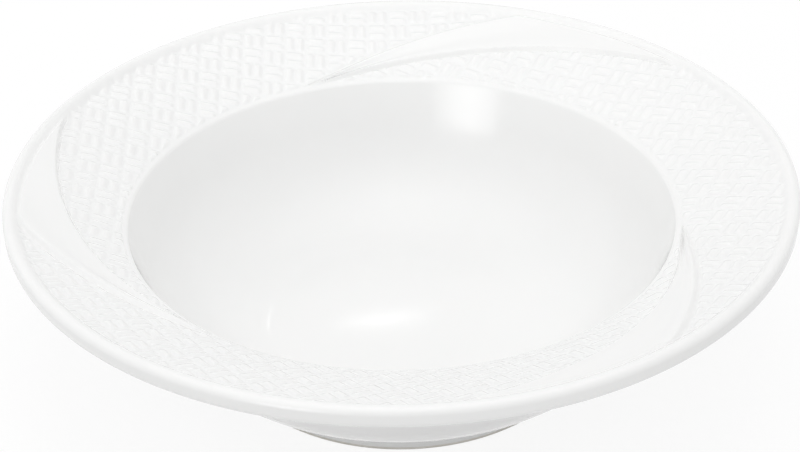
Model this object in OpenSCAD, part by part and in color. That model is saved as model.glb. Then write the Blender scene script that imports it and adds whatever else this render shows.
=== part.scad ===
// A rimmed serving bowl of hotel china, fired in one piece. It has a round well
// with a curved wall, a low foot ring, and a flared rim with a rolled edge. The
// rim carries a basket weave in relief, parted by smooth bands that sweep in
// from the rolled edge to the well.
// Lengths are in millimetres and angles in degrees. The origin is on the table,
// at the middle of the foot, with +Z up.

/* [Overall] */
// Diameter over the rolled edge
rim_d = 165; // [158:1:176]
// Height of the rolled edge's top above the table
bowl_h = 42.8; // [40.8:0.2:46.6]

/* [Well] */
// Thickness of the floor and of the wall
wall_t = 4.2; // [3.4:0.1:5]
// How far the wall leans out from upright
wall_lean = 20; // [15:1:25]
// Radius of the curve from the floor to the wall, inside
cove_r = 28; // [23:0.5:29]
// Radius of the rounded edge between the wall and the rim
lip_r = 1.2; // [0.8:0.1:1.6]
// Plain ring between the corner of wall and rim and the relief
lip_w = 0.9; // [0.8:0.1:1.6]

/* [Rim] */
// Width, from the roll's outside in to the corner where the wall would meet the rim
rim_w = 25; // [22.5:0.5:28.5]
// How far the roll's top stands above that corner
rim_rise = 8.8; // [7.2:0.2:11.6]
// Upright thickness of the rim beside the well
rim_t = 4; // [3.4:0.1:5]
// How far the rim's upper face bulges above a straight slope
rim_crown = 0.5; // [0:0.1:1]
// Radius of the hollow curve from the wall to the rim's underside
under_r = 6; // [3:0.5:7]

/* [Rolled edge] */
// Upright thickness of the roll
edge_d = 4.4; // [3.8:0.1:5.2]
// Width of the roll, which is flattened on its outside
edge_w = 3; // [2.6:0.1:3.6]
// How far the roll's top stands above the ground of the rim
edge_stand = 1.1; // [0.8:0.1:1.6]
// How far the roll laps over the outer end of the relief
edge_lap = 0.7; // [0.4:0.1:1.1]

/* [Foot] */
// How far the foot's outer side stands in from the corner of wall and rim, at the table
foot_set = 19.5; // [16:0.5:22]
// Width of the ring that touches the table
foot_w = 3; // [2:0.1:4]
// Height of the base above the table, inside the foot
foot_h = 2.6; // [2:0.1:3.6]
// How far each side of the foot leans from upright
foot_lean = 14; // [5:1:20]
// Radius of the foot's lower corners
foot_r = 0.6; // [0.3:0.1:0.9]
// Height to which the foot is left bare of glaze
bare_h = 0.9; // [0.7:0.1:1.3]

/* [Weave] */
// Thickness of the ground that the weave's strands stand on
ground_t = 0.8; // [0.5:0.1:1.1]
// Height of the strands above their ground
strand_h = 0.5; // [0.3:0.1:0.9]
// Width of a strand
strand_w = 1.6; // [1.2:0.1:2.2]
// Width of the groove between strands
groove_w = 0.8; // [0.5:0.1:1.2]
// Strands side by side in each block
block_strands = 2; // [1:1:3]
// Turn of the weave's grid in the first panel
weave_turn = 0; // [0:1:89]

/* [Bands] */
// Direction in which the first band leaves the rolled edge
band_start = 35; // [0:1:119]
// Angle through which a band's inner edge sweeps on its way in to the well
band_sweep = 76; // [60:1:84]
// Angle that a band takes up at the rolled edge
band_mouth = 34; // [26:1:44]
// Angle that a band takes up at its tip beside the well
band_tip = 4; // [3:1:8]
// Height of a band's ridges above the weave's ground
band_h = 1; // [0.8:0.1:1.3]
// Depth of the hollow between the two ridges, beside the well
band_dip = 0.6; // [0.2:0.1:0.8]

/* [Hidden] */
$fn = 144;

// Bands on the rim, and as many panels of weave between them
band_count = 3;
// Bend of a band's path: 1 would be an even spiral, more turns in sooner
band_bend = 1.4;
// Steps along a rounded corner, the rim's slope, a band, and across a band
corner_steps = 12;
slope_steps = 4;
band_steps = 30;
across_steps = 12;
// Overrun of shapes that cut others
over = 5;

glaze_colour = [0.95, 0.95, 0.94];
relief_colour = [0.9, 0.9, 0.89];
band_colour = [0.97, 0.97, 0.96];
bare_colour = [0.86, 0.83, 0.77];

full_turn = 360;
half_turn = full_turn / 2;
quarter_turn = full_turn / 4;

// A step of length 1 in a direction
function dir(a) = [cos(a), sin(a)];

// Points of the arc that rounds the corner p, where a path that comes in
// along direction d_in turns to go out along direction d_out
function corner_arc(p, d_in, d_out, r) =
    let (turn = d_out - d_in, side = sign(turn))
    let (start = p - r * tan(abs(turn) / 2) * dir(d_in))
    let (centre = start + side * r * dir(d_in + quarter_turn))
    [for (i = [0 : corner_steps])
        centre - side * r * dir(d_in + quarter_turn + turn * i / corner_steps)];
function mix(a, b, share) = a + (b - a) * share;
function reversed(list) = [for (i = [len(list) - 1 : -1 : 0]) list[i]];

// Rolled edge: centres of the upper and lower round of its upright section
edge_r = edge_w / 2;
edge_c = [rim_d / 2 - edge_r, bowl_h - edge_r];
edge_low = [edge_c.x, bowl_h - edge_d + edge_r];

// Ground of the rim, from the corner of wall and rim to the middle of the rolled edge
corner = [rim_d / 2 - rim_w, bowl_h - rim_rise];
ground_end = [edge_c.x, bowl_h - edge_stand];
function ground_z(r) =
    let (share = (r - corner.x) / (ground_end.x - corner.x))
    mix(corner.y, ground_end.y, share) + 4 * rim_crown * share * (1 - share);
function base_z(r) = ground_z(r) - ground_t;
top_slope = atan2(ground_end.y - corner.y + 4 * rim_crown, ground_end.x - corner.x);

// The relief lies between these radii
relief_in = corner.x + lip_w;
relief_out = edge_c.x - edge_r + edge_lap;

// Underside of the rim: a line from below the well's corner that runs out
// as a tangent of the rolled edge
under_start = corner - [0, rim_t];
to_edge = edge_low - under_start;
under_slope = atan2(to_edge.y, to_edge.x) - asin(edge_r / norm(to_edge));
function under_z(r) = under_start.y + (r - under_start.x) * tan(under_slope);

// Wall: its upward direction, and the heights of the floor's two faces
wall_dir = quarter_turn - wall_lean;
floor_z = foot_h + wall_t;
function wall_x(z) = corner.x - (corner.y - z) * tan(wall_lean);
function outer_x(z) = wall_x(z) + wall_t / cos(wall_lean);

// Corner between the wall's outer face and the rim's underside
under_corner_z = (under_start.y + (outer_x(0) - under_start.x) * tan(under_slope))
    / (1 - tan(wall_lean) * tan(under_slope));
under_corner = [outer_x(under_corner_z), under_corner_z];

lip_arc = corner_arc(corner, wall_dir, top_slope, lip_r);
under_arc = corner_arc(under_corner, wall_dir, under_slope, under_r);

// The wall ends square to its faces, where the hollow curve begins
wall_top_out = under_arc[0];
wall_top_in = wall_top_out - wall_t * dir(wall_dir - quarter_turn);

// The curve from the floor to the wall, which a low wall has no room for in full
cove_room = (wall_top_in.y - floor_z) / cos(wall_lean) / tan(wall_dir / 2);
cove = min(cove_r, cove_room);
cove_in = corner_arc([wall_x(floor_z), floor_z], 0, wall_dir, cove);
cove_out = corner_arc([outer_x(foot_h), foot_h], 0, wall_dir, cove + wall_t);

module wall_section() {
    polygon(concat(cove_in, [wall_top_in, wall_top_out], reversed(cove_out)));
}

// The foot's section runs up into the floor and the wall and is cut off there
foot_out = corner.x - foot_set;
foot_in = foot_out - foot_w;
foot_top = floor_z;

module foot_section() {
    difference() {
        polygon(concat(
            corner_arc([foot_in, 0], foot_lean - quarter_turn, 0, foot_r),
            corner_arc([foot_out, 0], 0, quarter_turn - foot_lean, foot_r),
            [[foot_out + foot_top * tan(foot_lean), foot_top],
             [foot_in - foot_top * tan(foot_lean), foot_top]]));
        wall_section();
        translate([0, foot_h]) square([cove_in[0].x, foot_top]);
    }
}

module foot_face() {
    color(bare_colour) rotate_extrude() intersection() {
        foot_section();
        square([rim_d, bare_h]);
    }
}

module foot_ring() {
    color(glaze_colour) rotate_extrude() difference() {
        foot_section();
        translate([0, -over]) square([rim_d, bare_h + over]);
    }
}

module well_floor() {
    color(glaze_colour) translate([0, 0, foot_h]) cylinder(h = wall_t, r = cove_in[0].x);
}

module well_wall() {
    color(glaze_colour) rotate_extrude() wall_section();
}

// The shoulder turns the wall into the rim, with a rounded edge above and a
// hollow curve below. Its upper face steps down where the relief begins.
module shoulder() {
    color(glaze_colour) rotate_extrude() polygon(concat(
        [wall_top_in], lip_arc,
        [[relief_in, ground_z(relief_in)], [relief_in, base_z(relief_in)]],
        reversed(under_arc)));
}

function slope_r(i) = mix(relief_in, relief_out, i / slope_steps);

module rim() {
    color(glaze_colour) rotate_extrude() polygon(concat(
        [for (i = [0 : slope_steps]) [slope_r(i), base_z(slope_r(i))]],
        [[relief_out, under_z(relief_out)], under_arc[corner_steps]]));
}

module rolled_edge() {
    from = acos((relief_out - edge_c.x) / edge_r);
    to = under_slope - quarter_turn;
    steps = 2 * corner_steps;
    color(glaze_colour) rotate_extrude() polygon(concat(
        [[relief_out, under_z(relief_out)]],
        [for (i = [0 : steps]) edge_c + edge_r * dir(mix(from, 0, i / steps))],
        [for (i = [0 : corner_steps]) edge_low + edge_r * dir(mix(0, to, i / corner_steps))]));
}

// A band lies between two spirals. Both run from the rolled edge, where the
// share is 0, to the well, where it is 1, and have the same radius at a share.
band_gap = full_turn / band_count;
function band_r(share) = mix(relief_in, relief_out, pow(1 - share, band_bend));
function band_angle(share, across) =
    let (inner = band_sweep * share)
    let (outer = mix(band_mouth, band_sweep + band_tip, share))
    mix(inner, outer, across);
function share_at(r) = 1 - pow((r - relief_in) / (relief_out - relief_in), 1 / band_bend);

// Height of a band above the weave's ground: a crisp ridge on the well's side,
// a hollow that deepens towards the well, and a softer ridge that falls away on
// the outer side
crisp_share = 0.08;
soft_share = 0.86;
mouth_dip_share = 0.4;
function band_rise(share, across) =
    let (dip = band_dip * mix(mouth_dip_share, 1, share))
    across < crisp_share ? mix(band_h * (1 - crisp_share), band_h, across / crisp_share)
    : across < soft_share
    ? band_h - dip * pow(sin(half_turn * (across - crisp_share) / (soft_share - crisp_share)), 2)
    : band_h * pow(cos(quarter_turn * (across - soft_share) / (1 - soft_share)), 2);

function on_rim(r, angle, z) = [r * cos(angle), r * sin(angle), z];

module band(index) {
    across = across_steps + 1;
    function point(i, j, top) =
        let (share = i / band_steps, part = j / across_steps, r = band_r(share))
        on_rim(r, band_angle(share, part), base_z(r) + (top ? ground_t + band_rise(share, part) : 0));
    points = [for (top = [0, 1]) for (i = [0 : band_steps]) for (j = [0 : across_steps])
        point(i, j, top == 1)];
    function at(i, j, top) = (top * (band_steps + 1) + i) * across + j;
    upper = [for (i = [0 : band_steps - 1]) for (j = [0 : across_steps - 1])
        each [[at(i, j, 1), at(i, j + 1, 1), at(i + 1, j + 1, 1)],
              [at(i, j, 1), at(i + 1, j + 1, 1), at(i + 1, j, 1)]]];
    lower = [for (i = [0 : band_steps - 1]) for (j = [0 : across_steps - 1])
        each [[at(i, j, 0), at(i + 1, j + 1, 0), at(i, j + 1, 0)],
              [at(i, j, 0), at(i + 1, j, 0), at(i + 1, j + 1, 0)]]];
    sides = [for (i = [0 : band_steps - 1])
        each [[at(i, 0, 0), at(i, 0, 1), at(i + 1, 0, 1)],
              [at(i, 0, 0), at(i + 1, 0, 1), at(i + 1, 0, 0)],
              [at(i, across_steps, 0), at(i + 1, across_steps, 1), at(i, across_steps, 1)],
              [at(i, across_steps, 0), at(i + 1, across_steps, 0), at(i + 1, across_steps, 1)]]];
    ends = [for (j = [0 : across_steps - 1])
        each [[at(0, j, 0), at(0, j + 1, 1), at(0, j, 1)],
              [at(0, j, 0), at(0, j + 1, 0), at(0, j + 1, 1)],
              [at(band_steps, j, 0), at(band_steps, j, 1), at(band_steps, j + 1, 1)],
              [at(band_steps, j, 0), at(band_steps, j + 1, 1), at(band_steps, j + 1, 0)]]];
    color(band_colour) rotate([0, 0, band_start + index * band_gap])
        polyhedron(points, concat(upper, lower, sides, ends), convexity = 8);
}

// A layer of the rim's upper face, between two heights above the rim
module layer(low, high) {
    rotate_extrude() polygon(concat(
        [for (i = [0 : slope_steps]) [slope_r(i), base_z(slope_r(i)) + low]],
        [for (i = [slope_steps : -1 : 0]) [slope_r(i), base_z(slope_r(i)) + high]]));
}

// Plan of a panel: from one band's outer spiral to the next one's inner spiral.
// The first and last steps of a spiral run on past the relief's two edges.
run_on_share = 2;
function spiral_point(i, across, turn) =
    band_r(i / band_steps) * dir(band_start + band_angle(i / band_steps, across) + turn);
function spiral(across, turn) = concat(
    [mix(spiral_point(1, across, turn), spiral_point(0, across, turn), run_on_share)],
    [for (i = [1 : band_steps - 1]) spiral_point(i, across, turn)],
    [mix(spiral_point(band_steps - 1, across, turn), spiral_point(band_steps, across, turn),
        run_on_share)]);

module panel_plan() {
    outer = spiral(1, 0);
    inner = spiral(0, band_gap);
    first = band_start + band_mouth;
    last = band_start + band_gap;
    tip = band_start + band_sweep + band_tip;
    next_tip = band_start + band_sweep + band_gap;
    polygon(concat(
        reversed(outer),
        [for (i = [0 : across_steps])
            (relief_out + over) * dir(mix(first, last, i / across_steps))],
        inner,
        [for (i = [0 : across_steps])
            (relief_in - over) * dir(mix(next_tip, tip, i / across_steps))]));
}

// Strands of a basket weave: square blocks, in turn along and across the grid
strand_step = strand_w + groove_w;
block = block_strands * strand_step;
strand_l = block - groove_w;
function turned(p, a) = [p.x * cos(a) - p.y * sin(a), p.x * sin(a) + p.y * cos(a)];
function in_panel(p) =
    let (r = norm(p))
    r > relief_in && r < relief_out
    ? let (share = share_at(r))
      let (angle = (atan2(p.y, p.x) - band_start + 2 * full_turn) % full_turn)
      angle > band_angle(share, 1) && angle < band_angle(share, 0) + band_gap
    : false;

module strands_plan() {
    reach = ceil(relief_out / block);
    for (i = [-reach : reach], j = [-reach : reach], k = [0 : block_strands - 1]) {
        shift = (k + 1 / 2) * strand_step - block / 2;
        along = (i + j) % 2 == 0;
        middle = block * [i, j] + (along ? [0, shift] : [shift, 0]);
        if (in_panel(turned(middle, weave_turn)))
            rotate([0, 0, weave_turn]) translate(middle)
                square(along ? [strand_l, strand_w] : [strand_w, strand_l], center = true);
    }
}

module weave_panel(index) {
    color(relief_colour) rotate([0, 0, index * band_gap]) intersection() {
        union() {
            layer(0, ground_t);
            intersection() {
                layer(ground_t / 2, ground_t + strand_h);
                linear_extrude(bowl_h) strands_plan();
            }
        }
        linear_extrude(bowl_h) panel_plan();
    }
}

foot_face();
foot_ring();
well_floor();
well_wall();
shoulder();
rim();
rolled_edge();
band(0);  // band_1
band(1);  // band_2
band(2);  // band_3
weave_panel(0);  // weave_panel_1
weave_panel(1);  // weave_panel_2
weave_panel(2);  // weave_panel_3
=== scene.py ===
import math

import bpy
import numpy as np
from mathutils import Matrix, Vector
from mathutils.geometry import delaunay_2d_cdt
from mathutils.kdtree import KDTree


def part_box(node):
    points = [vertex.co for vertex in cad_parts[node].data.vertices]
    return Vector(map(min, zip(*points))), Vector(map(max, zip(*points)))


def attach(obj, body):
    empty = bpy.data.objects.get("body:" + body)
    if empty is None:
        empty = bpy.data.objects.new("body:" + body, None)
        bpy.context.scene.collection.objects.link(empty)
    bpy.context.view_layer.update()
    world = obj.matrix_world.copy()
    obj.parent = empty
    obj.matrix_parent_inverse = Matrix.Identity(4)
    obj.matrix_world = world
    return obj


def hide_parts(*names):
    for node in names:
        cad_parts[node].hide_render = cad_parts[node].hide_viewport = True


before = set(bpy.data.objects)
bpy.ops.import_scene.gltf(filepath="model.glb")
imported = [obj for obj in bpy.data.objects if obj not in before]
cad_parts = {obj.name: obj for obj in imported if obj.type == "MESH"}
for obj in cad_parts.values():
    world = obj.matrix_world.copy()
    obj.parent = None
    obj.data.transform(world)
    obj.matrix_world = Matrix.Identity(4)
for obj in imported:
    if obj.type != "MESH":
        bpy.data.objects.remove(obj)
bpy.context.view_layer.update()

# A bowl of white hotel china. Lengths are in metres, angles in degrees.
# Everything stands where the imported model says: the table is at zero height.
mm = 0.001
fullTurn = 360
halfTurn = 180
quarterTurn = 90
# Points nearer to each other than this are one point
tolerance = 1e-7
# Decimals by which two places of a section are told apart
placeDigits = 8
white = (1, 1, 1, 1)


def lowCorner(node):
    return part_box(node)[0]


def highCorner(node):
    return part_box(node)[1]


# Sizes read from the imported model
rimRadius = highCorner("rolled_edge").x
bowlHeight = highCorner("rolled_edge").z
reliefOut = highCorner("rim").x
floorTop = highCorner("well_floor").z
floorUnder = lowCorner("well_floor").z
bareTop = highCorner("foot_face").z

# Sizes of the bowl's section, as in the construction
bowlForm = {
    "rimWidth": 25 * mm,
    "rimRise": 8.8 * mm,
    "rimThickness": 4 * mm,
    "rimCrown": 0.5 * mm,
    "wallLean": 20,
    "coveRadius": 28 * mm,
    "lipRadius": 1.2 * mm,
    "lipWidth": 0.9 * mm,
    "hollowRadius": 6 * mm,
    "rollThickness": 4.4 * mm,
    "rollWidth": 3 * mm,
    "rollStand": 1.1 * mm,
    "rollBend": 0.3 / mm,
    "groundThickness": 0.8 * mm,
    "footSetBack": 19.5 * mm,
    "footWidth": 3 * mm,
    "footLean": 14,
    "footCorner": 0.6 * mm,
    "footFillet": 2 * mm,
    "turnSteps": 320,
    "arcStep": 2.5,
    "arcLeastSteps": 3,
    "lineStep": 1 * mm,
    "lipSteps": 8,
    "rimSteps": 40,
    "overrun": 0.2 * mm,
    "overrunAngle": 2,
}


def direction(angle):
    return np.array([math.cos(math.radians(angle)), math.sin(math.radians(angle))])


def angleOf(vector):
    return math.degrees(math.atan2(vector[1], vector[0]))


def arc(centre, radius, start, end):
    steps = max(bowlForm["arcLeastSteps"], math.ceil(abs(end - start) / bowlForm["arcStep"]))
    return np.array([centre + radius * direction(a) for a in np.linspace(start, end, steps + 1)])


def cornerArc(corner, comesIn, goesOut, radius):
    # Rounds a corner between two directions of travel
    turn = goesOut - comesIn
    side = math.copysign(1, turn)
    start = corner - radius * math.tan(math.radians(abs(turn) / 2)) * direction(comesIn)
    centre = start + side * radius * direction(comesIn + quarterTurn)
    return arc(centre, radius, comesIn - side * quarterTurn, goesOut - side * quarterTurn)


def straight(start, end):
    along = np.subtract(end, start)
    count = max(1, math.ceil(np.linalg.norm(along) / bowlForm["lineStep"]))
    return np.array([np.add(start, along * i / count) for i in range(count + 1)])


def chain(*parts):
    # Joins runs of points, leaving out a point that repeats the one before it
    points = []
    for part in parts:
        for point in part:
            if not points or np.linalg.norm(np.subtract(point, points[-1])) > tolerance:
                points.append(np.array(point, float))
    return np.array(points)


def withNormals(points):
    # Adds to each point the outward normal of the skin there; the skin is
    # followed from the middle of the well, over the rim, to the middle below
    edges = np.diff(points, axis=0)
    outward = np.column_stack([-edges[:, 1], edges[:, 0]])
    normals = np.vstack([outward[:1], outward[:-1] + outward[1:], outward[-1:]])
    normals /= np.linalg.norm(normals, axis=1)[:, None]
    return np.column_stack([points, normals])


def indexOf(skin, point):
    return int(np.argmin(np.linalg.norm(skin[:, :2] - np.array(point), axis=1)))


# Section of the rim and of the rolled edge
corner = np.array([rimRadius - bowlForm["rimWidth"], bowlHeight - bowlForm["rimRise"]])
reliefIn = corner[0] + bowlForm["lipWidth"]
rollRadius = bowlForm["rollWidth"] / 2
rollCentre = np.array([rimRadius - rollRadius, bowlHeight - rollRadius])
rollLow = rollCentre - [0, bowlForm["rollThickness"] - bowlForm["rollWidth"]]
groundEnd = np.array([rollCentre[0], bowlHeight - bowlForm["rollStand"]])


def groundHeight(radius):
    # Height of the smooth ground under the relief, for a number or for a field
    share = (radius - corner[0]) / (groundEnd[0] - corner[0])
    rise = 4 * bowlForm["rimCrown"] * share * (1 - share)
    return corner[1] + (groundEnd[1] - corner[1]) * share + rise


topSlope = angleOf([groundEnd[0] - corner[0], groundEnd[1] - corner[1] + 4 * bowlForm["rimCrown"]])
underStart = corner - [0, bowlForm["rimThickness"]]
toRoll = rollLow - underStart
underSlope = angleOf(toRoll) - math.degrees(math.asin(rollRadius / np.linalg.norm(toRoll)))


def underHeight(radius):
    return underStart[1] + (radius - underStart[0]) * math.tan(math.radians(underSlope))


# Section of the wall
wallThickness = floorTop - floorUnder
lean = math.radians(bowlForm["wallLean"])
wallDirection = quarterTurn - bowlForm["wallLean"]


def wallInside(height):
    return corner[0] - (corner[1] - height) * math.tan(lean)


def wallOutside(height):
    return wallInside(height) + wallThickness / math.cos(lean)


slopeRatio = math.tan(math.radians(underSlope))
underCornerHeight = ((underStart[1] + (wallOutside(0) - underStart[0]) * slopeRatio)
                     / (1 - math.tan(lean) * slopeRatio))
underCorner = np.array([wallOutside(underCornerHeight), underCornerHeight])
lipArc = cornerArc(corner, wallDirection, topSlope, bowlForm["lipRadius"])
hollowArc = cornerArc(underCorner, wallDirection, underSlope, bowlForm["hollowRadius"])
wallTopOut = hollowArc[0]
wallTopIn = wallTopOut - wallThickness * direction(wallDirection - quarterTurn)
coveIn = cornerArc([wallInside(floorTop), floorTop], 0, wallDirection, bowlForm["coveRadius"])
coveOutRadius = bowlForm["coveRadius"] + wallThickness
coveOut = cornerArc([wallOutside(floorUnder), floorUnder], 0, wallDirection, coveOutRadius)
coveCentre = coveIn[0] + [0, bowlForm["coveRadius"]]

# Section of the foot, with a glaze fillet where it leaves the wall
footOut = corner[0] - bowlForm["footSetBack"]
footIn = footOut - bowlForm["footWidth"]


def footSide(start, side):
    # Fillet between the curve of the wall and one side of the foot, from the wall down
    fillet = bowlForm["footFillet"]
    along = direction(quarterTurn - side * bowlForm["footLean"])
    away = side * np.array([along[1], -along[0]])
    offset = np.array([start, 0]) + fillet * away - coveCentre
    reach = coveOutRadius + fillet
    travel = -offset @ along - math.sqrt((offset @ along) ** 2 - (offset @ offset - reach ** 2))
    centre = coveCentre + offset + travel * along
    onWall = angleOf(coveCentre - centre)
    onFoot = angleOf(-away)
    if side > 0 and onFoot < onWall:
        onFoot += fullTurn
    if side < 0 and onFoot > onWall:
        onFoot -= fullTurn
    return arc(centre, fillet, onWall, onFoot)


outerFillet = footSide(footOut, 1)
innerFillet = footSide(footIn, -1)[::-1]
outerCorner = cornerArc(np.array([footOut, 0]), -quarterTurn - bowlForm["footLean"], -halfTurn,
                        bowlForm["footCorner"])
innerCorner = cornerArc(np.array([footIn, 0]), -halfTurn,
                        -halfTurn - quarterTurn + bowlForm["footLean"], bowlForm["footCorner"])


def sidePoint(start, side):
    # Where the bare clay ends on one side of the foot
    shift = bareTop * math.tan(math.radians(bowlForm["footLean"]))
    return np.array([start + side * shift, bareTop])


bareOut = sidePoint(footOut, 1)
bareIn = sidePoint(footIn, -1)

# The skin, in two chains: the well up to the relief, and from the relief round below.
# Each runs on a little under the relief, so that its last normal is true, and is cut back.
pastEdge = reliefIn + bowlForm["overrun"]
lipEnd = np.linspace(lipArc[-1][0], reliefIn, bowlForm["lipSteps"])[1:]
topSkin = withNormals(chain(
    straight([0, floorTop], coveIn[0]), coveIn, straight(coveIn[-1], wallTopIn),
    straight(wallTopIn, lipArc[0]), lipArc,
    [[r, groundHeight(r)] for r in (*lipEnd, pastEdge)]))[:-1]
rollStart = math.degrees(math.acos((reliefOut - rollCentre[0]) / rollRadius))
underEnd = np.array([reliefOut, underHeight(reliefOut)])
belowSkin = withNormals(chain(
    [rollCentre + rollRadius * direction(rollStart + bowlForm["overrunAngle"])],
    arc(rollCentre, rollRadius, rollStart, 0),
    straight(rollCentre + [rollRadius, 0], rollLow + [rollRadius, 0]),
    arc(rollLow, rollRadius, 0, underSlope - quarterTurn),
    straight(rollLow + rollRadius * direction(underSlope - quarterTurn), underEnd),
    straight(underEnd, hollowArc[-1]), hollowArc[::-1], straight(wallTopOut, coveOut[-1]),
    [p for p in coveOut[::-1] if p[0] > outerFillet[0][0]],
    outerFillet, straight(outerFillet[-1], bareOut), straight(bareOut, outerCorner[0]),
    outerCorner, innerCorner, straight(innerCorner[-1], bareIn), straight(bareIn, innerFillet[0]),
    innerFillet, [p for p in coveOut[::-1] if p[0] < innerFillet[-1][0]],
    straight(coveOut[0], [0, floorUnder])))[1:]


def between(skin, start, end):
    return skin[indexOf(skin, start):indexOf(skin, end) + 1]


def cut(*points):
    # A face where two pieces meet, flat between its points
    runs = []
    for start, end in zip(points, points[1:]):
        edge = np.subtract(end, start)
        normal = np.array([-edge[1], edge[0]]) / np.linalg.norm(edge)
        runs.append(np.array([[*start, *normal], [*end, *normal]]))
    return runs


def addObject(name, data):
    thing = bpy.data.objects.new(name, data)
    bpy.context.scene.collection.objects.link(thing)
    return thing


def pieceFrom(name, vertices, faces, normals):
    mesh = bpy.data.meshes.new(name)
    mesh.from_pydata([tuple(v) for v in vertices], [], faces)
    mesh.validate()
    mesh.shade_smooth()
    mesh.normals_split_custom_set([tuple(n) for n in normals])
    return addObject(name, mesh)


def revolve(name, runs):
    # Turns a closed section, made of runs of points with normals, round the bowl's axis
    steps = bowlForm["turnSteps"]
    turns = [2 * math.pi * i / steps for i in range(steps)]
    rings, vertices = {}, []

    def ring(point):
        key = (round(point[0], placeDigits), round(point[1], placeDigits))
        if key not in rings:
            first = len(vertices)
            if point[0] < tolerance:
                vertices.append((0, 0, point[1]))
                rings[key] = [first] * steps
            else:
                vertices.extend((point[0] * math.cos(a), point[0] * math.sin(a), point[1])
                                for a in turns)
                rings[key] = list(range(first, first + steps))
        return rings[key]

    def turned(normal, index):
        a = turns[index % steps]
        return (normal[0] * math.cos(a), normal[0] * math.sin(a), normal[1])

    faces, normals = [], []
    for run in runs:
        for low, high in zip(run, run[1:]):
            a, b = ring(low), ring(high)
            for i in range(steps):
                j = (i + 1) % steps
                corners = [(a[i], low, i), (b[i], high, i), (b[j], high, j), (a[j], low, j)]
                if a[i] == a[j]:
                    corners = corners[:3]
                elif b[i] == b[j]:
                    corners = [corners[0], corners[1], corners[3]]
                faces.append([c[0] for c in corners])
                normals.extend(turned(c[1][2:], c[2]) for c in corners)
    return pieceFrom(name, vertices, faces, normals)


print("Turning the well, the rim and the foot")
reliefEdge = np.array([reliefIn, groundHeight(reliefIn)])
groundThickness = bowlForm["groundThickness"]
rimLine = [[r, groundHeight(r) - groundThickness]
           for r in np.linspace(reliefIn, reliefOut, bowlForm["rimSteps"])]
rollTopPoint = rollCentre + rollRadius * direction(rollStart)
wallEnd = outerFillet[0]
wallBack = innerFillet[-1]
underWall = np.array([p for p in coveOut[::-1] if wallBack[0] < p[0] < wallEnd[0]])
footRoof = chain([wallEnd], underWall, [wallBack])

wellFloor = revolve("wellFloor", [
    between(topSkin, [0, floorTop], coveIn[0]), *cut(coveIn[0], coveOut[0]),
    between(belowSkin, coveOut[0], [0, floorUnder])])
wellWall = revolve("wellWall", [
    between(topSkin, coveIn[0], wallTopIn), *cut(wallTopIn, wallTopOut),
    between(belowSkin, wallTopOut, wallEnd), *cut(*footRoof),
    between(belowSkin, wallBack, coveOut[0]), *cut(coveOut[0], coveIn[0])])
wellShoulder = revolve("wellShoulder", [
    between(topSkin, wallTopIn, reliefEdge), *cut(reliefEdge, rimLine[0], hollowArc[-1]),
    between(belowSkin, hollowArc[-1], wallTopOut), *cut(wallTopOut, wallTopIn)])
rimLedge = revolve("rimLedge", [
    *cut(*rimLine, underEnd), between(belowSkin, underEnd, hollowArc[-1]),
    *cut(hollowArc[-1], rimLine[0])])
rolledEdge = revolve("rolledEdge", [
    between(belowSkin, rollTopPoint, underEnd), *cut(underEnd, rollTopPoint)])
footRing = revolve("footRing", [
    between(belowSkin, wallEnd, bareOut), *cut(bareOut, bareIn),
    between(belowSkin, bareIn, wallBack), *cut(*footRoof[::-1])])
footFace = revolve("footFace", [between(belowSkin, bareOut, bareIn), *cut(bareIn, bareOut)])

# Relief of the rim: basket weave in three panels, parted by sweeping bands
bands = {
    "count": 3,
    "start": 35,
    "sweep": 76,
    "mouth": 34,
    "tip": 4,
    "bend": 1.4,
    "mouthDip": 0.4,
    "leastWidth": 0.01 * mm,
    "softLimitShare": 0.6,
    "fullWidth": 3 * mm,
    "innerFade": (-0.25 * mm, 0.45 * mm),
    "wellFade": 0.7 * mm,
    "rollFade": 1.8 * mm,
    "spacing": 0.25 * mm,
    "edgeStep": 0.3 * mm,
}
weave = {
    "unevenSize": 6 * mm,
    "innerFade": (0.1 * mm, 0.6 * mm),
    "outerFade": (0, 0.8 * mm),
    "edgeFade": 0.5 * mm,
    "slopeReach": 0.02 * mm,
    "spacing": 0.2 * mm,
    "underSpacing": 2 * mm,
    "clearShare": 0.45,
    "mergeReach": 1e-9,
}
# Sizes of the relief, which the modifier that raises it has as its inputs
reliefSizes = {
    "Strand width": 1.6 * mm,
    "Groove width": 0.8 * mm,
    "Strands per block": 2,
    "Strand height": 0.34 * mm,
    "Edge softness": 0.65 * mm,
    "Strand crown share": 0.25,
    "Unevenness share": 0.12,
    "Ridge height": 1 * mm,
    "Hollow depth": 0.6 * mm,
    "Crisp share": 0.08,
    "Soft share": 0.86,
    "Soft width": 1.6 * mm,
    "Roll fillet": 0.8 * mm,
}
bandGap = fullTurn / bands["count"]
innerSweep = bands["sweep"]
outerSweep = bands["sweep"] + bands["tip"] - bands["mouth"]
reliefWidth = reliefOut - reliefIn


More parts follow.
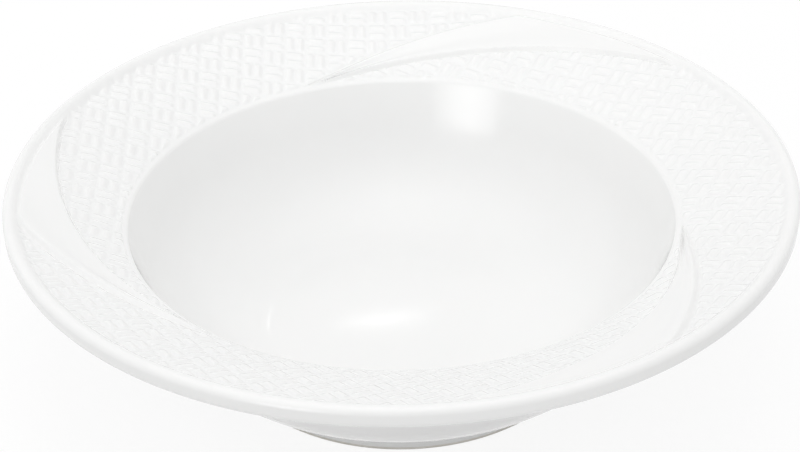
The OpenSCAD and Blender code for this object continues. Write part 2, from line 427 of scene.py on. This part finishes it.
class Field:
    # A number that varies over the surface, with arithmetic done by Math nodes
    def __init__(self, tree, socket):
        self.tree = tree
        self.socket = socket

    def math(self, operation, *others, clamp=False):
        node = self.tree.nodes.new("ShaderNodeMath")
        node.operation = operation
        node.use_clamp = clamp
        for socket, value in zip(node.inputs, (self, *others)):
            if isinstance(value, Field):
                self.tree.links.new(value.socket, socket)
            else:
                socket.default_value = value
        return Field(self.tree, node.outputs[0])

    def __add__(self, other):
        return self.math("ADD", other)

    def __sub__(self, other):
        return self.math("SUBTRACT", other)

    def __rsub__(self, other):
        return (self * -1) + other

    def __mul__(self, other):
        return self.math("MULTIPLY", other)

    def __truediv__(self, other):
        return self.math("DIVIDE", other)

    def __pow__(self, other):
        return self.math("POWER", other)

    __radd__ = __add__
    __rmul__ = __mul__

    def atLeast(self, other):
        return self.math("MAXIMUM", other)

    def atMost(self, other):
        return self.math("MINIMUM", other)

    def clamped(self):
        return self.math("ADD", 0, clamp=True)

    def eased(self, low, high):
        # Rises smoothly from 0 at low to 1 at high
        share = ((self - low) / (high - low)).clamped()
        return share * share * (3 - 2 * share)

    def towards(self, other, share):
        return self + (other - self) * share


def newTree(name, inputs, outputs, hasGeometry):
    # A group of geometry nodes whose inputs and outputs are numbers, beside the geometry
    tree = bpy.data.node_groups.new(name, "GeometryNodeTree")
    if hasGeometry:
        tree.interface.new_socket("Geometry", in_out="INPUT", socket_type="NodeSocketGeometry")
        tree.interface.new_socket("Geometry", in_out="OUTPUT", socket_type="NodeSocketGeometry")
    for label, value in inputs.items():
        socket = tree.interface.new_socket(label, in_out="INPUT", socket_type="NodeSocketFloat")
        socket.default_value = value
    for label in outputs:
        tree.interface.new_socket(label, in_out="OUTPUT", socket_type="NodeSocketFloat")
    return tree, tree.nodes.new("NodeGroupInput"), tree.nodes.new("NodeGroupOutput")


def bandShape(size, radius, fromInner, fromOuter, width):
    # A band's rise: a crisp ridge on its inner edge, then a hollow, then a soft ridge that falls
    # to its outer edge. The band grows lower where it is narrow.
    crisp = size["Crisp share"]
    across = (fromInner / width).atLeast(crisp).atMost(1)
    softLimit = (width * bands["softLimitShare"]).atMost(size["Soft width"])
    softWidth = (width * (1 - size["Soft share"])).atLeast(softLimit)
    soft = 1 - softWidth / width
    hollow = (((across - crisp) / (soft - crisp)).clamped() * math.pi).math("SINE") ** 2
    fall = ((fromOuter / softWidth).clamped() * (math.pi / 2)).math("SINE") ** 2
    wayIn = 1 - ((radius - reliefIn) / reliefWidth).clamped() ** (1 / bands["bend"])
    dip = size["Hollow depth"] * (bands["mouthDip"] + (1 - bands["mouthDip"]) * wayIn)
    ridge = (size["Ridge height"] - dip * hollow) * fall
    narrow = 1 - (1 - (width / bands["fullWidth"]).clamped()) ** 2
    return ridge * narrow * fromInner.eased(*bands["innerFade"])


def strandShape(size, x, y):
    # Basket weave, as a share of the strands' height: square blocks of strands, in turn along
    # and across, each strand round in section and lower towards its ends
    step = size["Strand width"] + size["Groove width"]
    block = step * size["Strands per block"]
    column = (x / block + 0.5).math("FLOOR")
    row = (y / block + 0.5).math("FLOOR")
    localX = x - column * block
    localY = y - row * block
    upright = (column + row).math("FLOORED_MODULO", 2)
    side = localY.towards(localX, upright)
    length = localX.towards(localY, upright).math("ABSOLUTE")
    side = ((side + block / 2).math("FLOORED_MODULO", step) - step / 2).math("ABSOLUTE")
    softness = size["Edge softness"]
    halfLength = (block - size["Groove width"]) / 2
    strand = 1 - side.eased(size["Strand width"] / 2 - softness, step / 2)
    strand = strand * (1 - length.eased(halfLength - softness, block / 2))
    return strand * (1 - size["Strand crown share"] * (length / halfLength) ** 2)


def unevenness(tree, size, x, y):
    # Factor by which the strands' height varies from place to place
    noise = tree.nodes.new("ShaderNodeTexNoise")
    noise.inputs["Scale"].default_value = 1 / weave["unevenSize"]
    place = tree.nodes.new("ShaderNodeCombineXYZ")
    tree.links.new(x.socket, place.inputs[0])
    tree.links.new(y.socket, place.inputs[1])
    tree.links.new(place.outputs[0], noise.inputs["Vector"])
    return 1 + size["Unevenness share"] * (Field(tree, noise.outputs[0]) * 2 - 1)


def rollHeight(radius):
    # Height of the rolled edge, carried on inwards, where it goes down steeper and steeper
    rollEdge = reliefOut - rollCentre[0]
    rollTop = rollCentre[1] + math.sqrt(rollRadius ** 2 - rollEdge ** 2)
    rollSlope = -rollEdge / (rollTop - rollCentre[1])
    inwards = (rollEdge - (radius - rollCentre[0])).atLeast(0)
    return rollTop - inwards * (rollSlope + inwards * bowlForm["rollBend"])


def reliefHeightTree():
    # Height of the rim's upper face above the table at a place, and how deep glaze pools there
    tree, given, result = newTree("reliefHeight", {"X": 0, "Y": 0, **reliefSizes},
                                  ["Height", "Pool"], False)
    size = {socket.name: Field(tree, socket) for socket in given.outputs if socket.name}
    x = size["X"]
    y = size["Y"]
    radius = (x * x + y * y).math("SQRT")
    angle = y.math("ARCTAN2", x).math("DEGREES") - bands["start"]
    angle = angle.math("FLOORED_MODULO", bandGap)

    # Distances from a band's two edges, positive on the band's side of each
    def spiral(begin, sweep):
        left = (1 - (angle - begin) / sweep).atLeast(0)
        return reliefIn + reliefWidth * left ** bands["bend"]

    innerEdge = spiral(0, innerSweep)
    outerEdge = spiral(bands["mouth"], outerSweep)
    fromInner = radius - innerEdge
    fromOuter = outerEdge - radius
    width = (outerEdge - innerEdge).atLeast(bands["leastWidth"])
    band = bandShape(size, radius, fromInner, fromOuter, width)
    strand = strandShape(size, x, y)
    uneven = unevenness(tree, size, x, y)

    # Each fades out at the well and at the rolled edge, and the weave at the bands
    nearWell = radius - reliefIn
    nearRoll = reliefOut - radius
    outside = (fromInner * -1).eased(*weave["innerFade"]).atLeast(
        (fromOuter * -1).eased(*weave["outerFade"]))
    woven = outside * nearWell.eased(0, weave["edgeFade"]) * nearRoll.eased(0, weave["edgeFade"])
    weaveRise = size["Strand height"] * strand * uneven * woven
    bandRise = band * nearWell.eased(0, bands["wellFade"]) * nearRoll.eased(0, bands["rollFade"])
    raised = groundHeight(radius) + weaveRise + bandRise
    height = raised.math("SMOOTH_MAX", rollHeight(radius), size["Roll fillet"])
    pool = woven * (1 - strand)
    tree.links.new(height.socket, result.inputs["Height"])
    tree.links.new(pool.socket, result.inputs["Pool"])
    return tree


def reliefTree(heightTree):
    # Lifts a flat plate's upper points, at height 1, to the relief, and its lower ones, at
    # height 0, to the rim below
    tree, given, result = newTree("rimRelief", reliefSizes, [], True)
    nodes, links = tree.nodes, tree.links
    position = nodes.new("GeometryNodeInputPosition")
    parts = nodes.new("ShaderNodeSeparateXYZ")
    links.new(position.outputs[0], parts.inputs[0])
    x, y, z = [Field(tree, socket) for socket in parts.outputs]

    def heightAt(placeX, placeY):
        group = nodes.new("GeometryNodeGroup")
        group.node_tree = heightTree
        for label in reliefSizes:
            links.new(given.outputs[label], group.inputs[label])
        links.new(placeX.socket, group.inputs["X"])
        links.new(placeY.socket, group.inputs["Y"])
        return Field(tree, group.outputs["Height"]), Field(tree, group.outputs["Pool"])

    reach = weave["slopeReach"]
    height, pool = heightAt(x, y)
    slopeX = (heightAt(x + reach, y)[0] - heightAt(x - reach, y)[0]) / (2 * reach)
    slopeY = (heightAt(x, y + reach)[0] - heightAt(x, y - reach)[0]) / (2 * reach)
    below = groundHeight((x * x + y * y).math("SQRT")) - groundThickness
    lifted = nodes.new("ShaderNodeCombineXYZ")
    for value, socket in zip((x, y, below.towards(height, z)), lifted.inputs):
        links.new(value.socket, socket)
    normal = nodes.new("ShaderNodeCombineXYZ")
    links.new((slopeX * -1).socket, normal.inputs[0])
    links.new((slopeY * -1).socket, normal.inputs[1])
    normal.inputs[2].default_value = 1

    def store(geometry, name, kind, socket):
        node = nodes.new("GeometryNodeStoreNamedAttribute")
        node.data_type = kind
        node.inputs["Name"].default_value = name
        links.new(geometry, node.inputs["Geometry"])
        links.new(socket, node.inputs["Value"])
        return node.outputs[0]

    geometry = store(given.outputs["Geometry"], "skinNormal", "FLOAT_VECTOR", normal.outputs[0])
    geometry = store(geometry, "glazePool", "FLOAT", (pool * z).socket)
    move = nodes.new("GeometryNodeSetPosition")
    links.new(geometry, move.inputs["Geometry"])
    links.new(lifted.outputs[0], move.inputs["Position"])
    whole = nodes.new("GeometryNodeRealizeInstances")
    links.new(move.outputs[0], whole.inputs[0])
    paint = nodes.new("GeometryNodeSetMaterial")
    links.new(whole.outputs[0], paint.inputs["Geometry"])
    links.new(paint.outputs[0], result.inputs["Geometry"])
    return tree, paint


def spiralPlan(begin, sweep, turn):
    # One edge of a band in plan, from the rolled edge to the well
    count = math.ceil(math.radians(sweep) * reliefOut / bands["edgeStep"])
    shares = np.linspace(0, 1, count + 1)
    radii = reliefIn + reliefWidth * (1 - shares) ** bands["bend"]
    angles = np.radians(bands["start"] + begin + sweep * shares + turn)
    return np.column_stack([radii * np.cos(angles), radii * np.sin(angles)])


def ringPlan(radius, start, end):
    # Part of a circle in plan, between two angles from the first band's start
    count = max(1, math.ceil(radius * math.radians(abs(end - start)) / bands["edgeStep"]))
    angles = np.radians(bands["start"] + np.linspace(start, end, count + 1))
    return np.column_stack([radius * np.cos(angles), radius * np.sin(angles)])


def filled(border, spacing):
    # Triangles that fill a border, with points on an even grid inside it
    reach = np.arange(-rimRadius - spacing / 2, rimRadius, spacing)
    gridX, gridY = np.meshgrid(reach, reach)
    points = np.column_stack([gridX.ravel(), gridY.ravel()])
    radii = np.hypot(*points.T)
    points = points[(radii > reliefIn) & (radii < reliefOut)]
    tree = KDTree(len(border))
    for index, point in enumerate(border):
        tree.insert((*point, 0), index)
    tree.balance()
    clear = [p for p in points if tree.find((*p, 0))[2] > spacing * weave["clearShare"]]
    count = len(border)
    loop = [(i, (i + 1) % count) for i in range(count)]
    keepInside = 1
    result = delaunay_2d_cdt([Vector(p) for p in (*border, *clear)], loop, [list(range(count))],
                             keepInside, weave["mergeReach"])
    faces = [list(f) for f in result[2]]
    used = sorted({index for face in faces for index in face})
    renumbered = {old: new for new, old in enumerate(used)}
    flat = np.array([tuple(result[0][old]) for old in used])
    faces = [[renumbered[index] for index in face] for face in faces]
    return flat, faces, [result[3][old] for old in used]


def flatPlate(name, border, spacing):
    # A closed plate, fine above and coarse below, and how many faces its top has
    top, topFaces, topOrigin = filled(border, spacing)
    under, underFaces, underOrigin = filled(border, weave["underSpacing"])

    def borderPoints(origins, first):
        found = {}
        for index, sources in enumerate(origins):
            for source in sources:
                if source < len(border):
                    found[source] = first + index
        return found

    count = len(top)
    above = borderPoints(topOrigin, 0)
    below = borderPoints(underOrigin, count)
    vertices = [(*p, 1) for p in top] + [(*p, 0) for p in under]
    faces = [*topFaces, *([count + i for i in reversed(f)] for f in underFaces)]
    for i in range(len(border)):
        j = (i + 1) % len(border)
        faces.append([below[i], below[j], above[j], above[i]])
    mesh = bpy.data.meshes.new(name)
    mesh.from_pydata(vertices, [], faces)
    return addObject(name, mesh), len(topFaces)


def setNormals(mesh, topCount):
    # Smooth on top, as the relief's own slope says, and flat on the sides and below
    slopes = np.zeros(len(mesh.vertices) * 3)
    mesh.attributes["skinNormal"].data.foreach_get("vector", slopes)
    slopes = slopes.reshape(-1, 3)
    slopes /= np.linalg.norm(slopes, axis=1)[:, None]
    normals = []
    for face in mesh.polygons:
        for vertex in face.vertices:
            normals.append(slopes[vertex] if face.index < topCount else tuple(face.normal))
    mesh.normals_split_custom_set([tuple(n) for n in normals])
    mesh.attributes.remove(mesh.attributes["skinNormal"])


def reliefMesh(name, border, spacing, tree):
    # Raises a plate to the relief and keeps the mesh, without the modifier
    plate, topCount = flatPlate(name + "Plate", border, spacing)
    modifier = plate.modifiers.new("Relief", "NODES")
    modifier.node_group = tree
    for item in tree.interface.items_tree:
        if item.item_type == "SOCKET" and item.in_out == "INPUT" and item.name in reliefSizes:
            modifier[item.identifier] = float(reliefSizes[item.name])
    depsgraph = bpy.context.evaluated_depsgraph_get()
    made = bpy.data.meshes.new_from_object(plate.evaluated_get(depsgraph), depsgraph=depsgraph)
    bpy.data.objects.remove(plate)
    made.shade_smooth()
    made.name = name
    setNormals(made, topCount)
    return made


print("Raising the relief")
panelBorder = np.vstack([
    ringPlan(reliefOut, bands["mouth"], bandGap)[:-1],
    spiralPlan(0, innerSweep, bandGap)[:-1],
    ringPlan(reliefIn, bandGap + innerSweep, bands["sweep"] + bands["tip"])[:-1],
    spiralPlan(bands["mouth"], outerSweep, 0)[::-1][:-1]])
bandBorder = np.vstack([
    ringPlan(reliefOut, 0, bands["mouth"])[:-1],
    spiralPlan(bands["mouth"], outerSweep, 0)[:-1],
    ringPlan(reliefIn, bands["sweep"] + bands["tip"], bands["sweep"])[:-1],
    spiralPlan(0, innerSweep, 0)[::-1][:-1]])


def shaderGroup(name, inputs, outputs):
    # A group of shader nodes whose inputs are colours or numbers, as their values are
    tree = bpy.data.node_groups.new(name, "ShaderNodeTree")
    for label, value in inputs.items():
        kind = "NodeSocketColor" if isinstance(value, tuple) else "NodeSocketFloat"
        socket = tree.interface.new_socket(label, in_out="INPUT", socket_type=kind)
        socket.default_value = value
    for label, kind in outputs.items():
        tree.interface.new_socket(label, in_out="OUTPUT", socket_type=kind)
    return tree, tree.nodes.new("NodeGroupInput"), tree.nodes.new("NodeGroupOutput")


def noiseOf(tree, given):
    # Noise in the piece's own space, with the size and detail that the group is given
    nodes, links = tree.nodes, tree.links
    scale = nodes.new("ShaderNodeMath")
    scale.operation = "DIVIDE"
    scale.inputs[0].default_value = 1
    place = nodes.new("ShaderNodeTexCoord")
    noise = nodes.new("ShaderNodeTexNoise")
    links.new(given.outputs["Size"], scale.inputs[1])
    links.new(scale.outputs[0], noise.inputs["Scale"])
    links.new(given.outputs["Detail"], noise.inputs["Detail"])
    links.new(place.outputs["Object"], noise.inputs["Vector"])
    return noise.outputs[0]


firing = {
    "patchSize": 30 * mm,
    "detail": 3,
    "noiseRange": (0.3, 0.7),
}


def firedTone():
    # Slow changes of tone that firing leaves in a surface
    tree, given, result = shaderGroup(
        "firedTone",
        {"Colour": white, "Second colour": white, "Size": firing["patchSize"],
         "Detail": firing["detail"]},
        {"Colour": "NodeSocketColor", "Mask": "NodeSocketFloat"})
    nodes, links = tree.nodes, tree.links
    spread = nodes.new("ShaderNodeMapRange")
    spread.inputs["From Min"].default_value = firing["noiseRange"][0]
    spread.inputs["From Max"].default_value = firing["noiseRange"][1]
    links.new(noiseOf(tree, given), spread.inputs["Value"])
    blend = nodes.new("ShaderNodeMix")
    blend.data_type = "RGBA"
    links.new(spread.outputs[0], blend.inputs["Factor"])
    links.new(given.outputs["Colour"], blend.inputs["A"])
    links.new(given.outputs["Second colour"], blend.inputs["B"])
    links.new(blend.outputs["Result"], result.inputs["Colour"])
    links.new(spread.outputs[0], result.inputs["Mask"])
    return tree


def unevenSkin():
    # The fine unevenness of a surface
    tree, given, result = shaderGroup("unevenSkin", {"Size": 1 * mm, "Detail": 1, "Depth": 0},
                                      {"Normal": "NodeSocketVector"})
    bump = tree.nodes.new("ShaderNodeBump")
    tree.links.new(given.outputs["Depth"], bump.inputs["Distance"])
    tree.links.new(noiseOf(tree, given), bump.inputs["Height"])
    tree.links.new(bump.outputs[0], result.inputs["Normal"])
    return tree


glaze = {
    "colour": (0.92, 0.92, 0.915, 1),
    "secondColour": (0.905, 0.907, 0.902, 1),
    "pooledColour": (0.9, 0.903, 0.9, 1),
    "patchSize": 35 * mm,
    "refraction": 1.5,
    "roughness": (0.04, 0.07),
    "grainSize": 7 * mm,
    "grainDetail": 1,
    "grainDepth": 0.006 * mm,
}
clay = {
    "colour": (0.80, 0.78, 0.73, 1),
    "secondColour": (0.72, 0.69, 0.63, 1),
    "patchSize": 4 * mm,
    "roughness": 0.75,
    "grainSize": 0.25 * mm,
    "grainDetail": 2,
    "grainDepth": 0.03 * mm,
}


def ceramic(name, values, tone, skin):
    # A fired material with its uneven skin, its shader and the node of its tone
    material = bpy.data.materials.new(name)
    material.use_nodes = True
    nodes, links = material.node_tree.nodes, material.node_tree.links
    shader = nodes["Principled BSDF"]
    fired = nodes.new("ShaderNodeGroup")
    fired.node_tree = tone
    fired.inputs["Colour"].default_value = values["colour"]
    fired.inputs["Second colour"].default_value = values["secondColour"]
    fired.inputs["Size"].default_value = values["patchSize"]
    grain = nodes.new("ShaderNodeGroup")
    grain.node_tree = skin
    grain.inputs["Size"].default_value = values["grainSize"]
    grain.inputs["Detail"].default_value = values["grainDetail"]
    grain.inputs["Depth"].default_value = values["grainDepth"]
    links.new(grain.outputs["Normal"], shader.inputs["Normal"])
    return material, shader, fired


def glazeMaterial(tone, skin):
    material, shader, fired = ceramic("whiteGlaze", glaze, tone, skin)
    nodes, links = material.node_tree.nodes, material.node_tree.links
    shader.inputs["IOR"].default_value = glaze["refraction"]
    pool = nodes.new("ShaderNodeAttribute")
    pool.attribute_name = "glazePool"
    blend = nodes.new("ShaderNodeMix")
    blend.data_type = "RGBA"
    links.new(pool.outputs["Fac"], blend.inputs["Factor"])
    links.new(fired.outputs["Colour"], blend.inputs["A"])
    blend.inputs["B"].default_value = glaze["pooledColour"]
    links.new(blend.outputs["Result"], shader.inputs["Base Color"])
    gloss = nodes.new("ShaderNodeMapRange")
    gloss.inputs["To Min"].default_value = glaze["roughness"][0]
    gloss.inputs["To Max"].default_value = glaze["roughness"][1]
    links.new(fired.outputs["Mask"], gloss.inputs["Value"])
    links.new(gloss.outputs[0], shader.inputs["Roughness"])
    return material


def clayMaterial(tone, skin):
    material, shader, fired = ceramic("bareClay", clay, tone, skin)
    shader.inputs["Roughness"].default_value = clay["roughness"]
    material.node_tree.links.new(fired.outputs["Colour"], shader.inputs["Base Color"])
    return material


print("Glazing")
tone = firedTone()
skin = unevenSkin()
whiteGlaze = glazeMaterial(tone, skin)
bareClay = clayMaterial(tone, skin)
relief, paint = reliefTree(reliefHeightTree())
paint.inputs["Material"].default_value = whiteGlaze
panelMesh = reliefMesh("weavePanel", panelBorder, weave["spacing"], relief)
bandMesh = reliefMesh("sweepingBand", bandBorder, bands["spacing"], relief)


def finishPiece(piece, material, slot, *nodes):
    # The relief's pieces have their material already, from the modifier
    if not piece.data.materials:
        piece.data.materials.append(material)
    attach(piece, "root")
    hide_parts(*nodes)


for index in range(bands["count"]):
    turn = Matrix.Rotation(math.radians(index * bandGap), 4, "Z")
    for kind, mesh, node in (("weavePanel", panelMesh, "weave_panel_"),
                             ("sweepingBand", bandMesh, "band_")):
        turned = mesh.copy()
        turned.transform(turn)
        piece = addObject(f"{kind}{index + 1}", turned)
        finishPiece(piece, whiteGlaze, "white_glaze", f"{node}{index + 1}")
for piece, node in ((wellFloor, "well_floor"), (wellWall, "well_wall"), (wellShoulder, "shoulder"),
                    (rimLedge, "rim"), (rolledEdge, "rolled_edge"), (footRing, "foot_ring")):
    finishPiece(piece, whiteGlaze, "white_glaze", node)
finishPiece(footFace, bareClay, "bare_foot", "foot_face")

print("Setting up the studio")
studio = {
    "cameraPlace": (-0.00035, -0.4202, 0.292),
    "cameraAim": (-0.00035, 0, 0.0303),
    "cameraRoll": -1.23,
    "lens": 105.46,
    "sensorWidth": 36,
    "clipStart": 0.01,
    "lampAim": (0, 0, 0.03),
    "lampSpread": 180,
    "floorSize": 12,
    "floorColour": (0.7, 0.7, 0.7, 1),
    "floorRoughness": 0.9,
    "skyStrength": 0.58,
    "shadowShare": 0.12,
}
camera = addObject("camera", bpy.data.cameras.new("camera"))
camera.data.lens = studio["lens"]
camera.data.sensor_width = studio["sensorWidth"]
camera.data.clip_start = studio["clipStart"]


def aimed(place, aim, roll=0):
    # Stands at a place and looks at an aim, with its top upwards
    look = Vector(aim) - Vector(place)
    turn = look.to_track_quat("-Z", "Y").to_matrix().to_4x4()
    return Matrix.Translation(place) @ turn @ Matrix.Rotation(math.radians(roll), 4, "Z")


camera.matrix_world = aimed(studio["cameraPlace"], studio["cameraAim"], studio["cameraRoll"])
bpy.context.scene.camera = camera

# A lamp with glare shows in the glaze, and one without only lights it. Where a lamp has no
# spread, shape, aim or roll of its own, it is wide, square-cornered and level, and looks at
# the middle of the bowl.
lamps = {
    "topBox": {"place": (0, -0.1, 0.9), "size": (1.6, 1.6), "watts": 1.7, "spread": 90,
               "glare": True},
    "overhead": {"place": (0, 0, 1.2), "size": (0.6, 0.6), "watts": 1.8, "glare": False},
    "leftBox": {"place": (-0.85, 0, 0.5), "size": (0.5, 0.5), "watts": 0.8, "glare": False},
    "leftFront": {"place": (-0.85, -0.6, 0.3), "size": (0.5, 0.4), "watts": 0.1, "glare": False},
    "rightFront": {"place": (0.85, -0.6, 0.3), "size": (0.5, 0.4), "watts": 0.86, "glare": False},
    "frontLamp": {"place": (-0.39, -0.685, 0.09), "size": (0.62, 0.62), "watts": 0.115,
                  "spread": 34, "shape": "ELLIPSE", "glare": True},
    "frontGlow": {"place": (-0.39, -0.685, 0.23), "size": (0.4, 0.4), "watts": 0.15,
                  "shape": "ELLIPSE", "glare": True},
    "backFill": {"place": (0, 0.9, 0.55), "size": (0.6, 0.4), "watts": 0.7, "glare": False},
    "backLamp": {"place": (-0.012, 0.66, 0.4555), "size": (0.054, 0.006), "watts": 6.5e-7,
                 "spread": 3, "aim": (-0.006, 0, 0.007), "roll": 4, "glare": True},
}
for name, lamp in lamps.items():
    light = bpy.data.lights.new(name, "AREA")
    light.shape = lamp.get("shape", "RECTANGLE")
    light.size, light.size_y = lamp["size"]
    light.energy = lamp["watts"]
    light.spread = math.radians(lamp.get("spread", studio["lampSpread"]))
    stand = addObject(name, light)
    stand.visible_glossy = lamp["glare"]
    aim = lamp.get("aim", studio["lampAim"])
    stand.matrix_world = aimed(lamp["place"], aim, lamp.get("roll", 0))


def seenDirectly(nodes, links):
    # 1 where the camera sees a thing itself, or in a gloss or through glass
    path = nodes.new("ShaderNodeLightPath")
    total = None
    for name in ("Is Camera Ray", "Is Glossy Ray", "Is Transmission Ray"):
        if total is None:
            total = path.outputs[name]
            continue
        node = nodes.new("ShaderNodeMath")
        node.operation = "MAXIMUM"
        links.new(total, node.inputs[0])
        links.new(path.outputs[name], node.inputs[1])
        total = node.outputs[0]
    return total


world = bpy.data.worlds.new("studio")
bpy.context.scene.world = world
world.use_nodes = True
nodes, links = world.node_tree.nodes, world.node_tree.links
background = nodes["Background"]
background.inputs["Color"].default_value = white
level = nodes.new("ShaderNodeMapRange")
level.inputs["To Min"].default_value = studio["skyStrength"]
level.inputs["To Max"].default_value = 1
links.new(seenDirectly(nodes, links), level.inputs["Value"])
links.new(level.outputs[0], background.inputs["Strength"])

# The floor glows where it is seen, so that it is white but for the bowl's shadow
floorMaterial = bpy.data.materials.new("paleFloor")
floorMaterial.use_nodes = True
nodes, links = floorMaterial.node_tree.nodes, floorMaterial.node_tree.links
shader = nodes["Principled BSDF"]
shader.inputs["Roughness"].default_value = studio["floorRoughness"]
shader.inputs["Specular IOR Level"].default_value = 0
shader.inputs["Emission Color"].default_value = white
seen = seenDirectly(nodes, links)
tint = nodes.new("ShaderNodeMix")
tint.data_type = "RGBA"
shade = studio["shadowShare"]
tint.inputs["A"].default_value = studio["floorColour"]
tint.inputs["B"].default_value = (shade, shade, shade, 1)
links.new(seen, tint.inputs["Factor"])
links.new(tint.outputs["Result"], shader.inputs["Base Color"])
glow = nodes.new("ShaderNodeMath")
glow.operation = "MULTIPLY"
glow.inputs[1].default_value = 1 - shade
links.new(seen, glow.inputs[0])
links.new(glow.outputs[0], shader.inputs["Emission Strength"])
half = studio["floorSize"] / 2
floorMesh = bpy.data.meshes.new("floor")
floorMesh.from_pydata([(-half, -half, 0), (half, -half, 0), (half, half, 0), (-half, half, 0)],
                      [], [(0, 1, 2, 3)])
floorMesh.materials.append(floorMaterial)
floor = addObject("floor", floorMesh)
bpy.context.scene.view_settings.view_transform = "Standard"

bpy.context.view_layer.update()
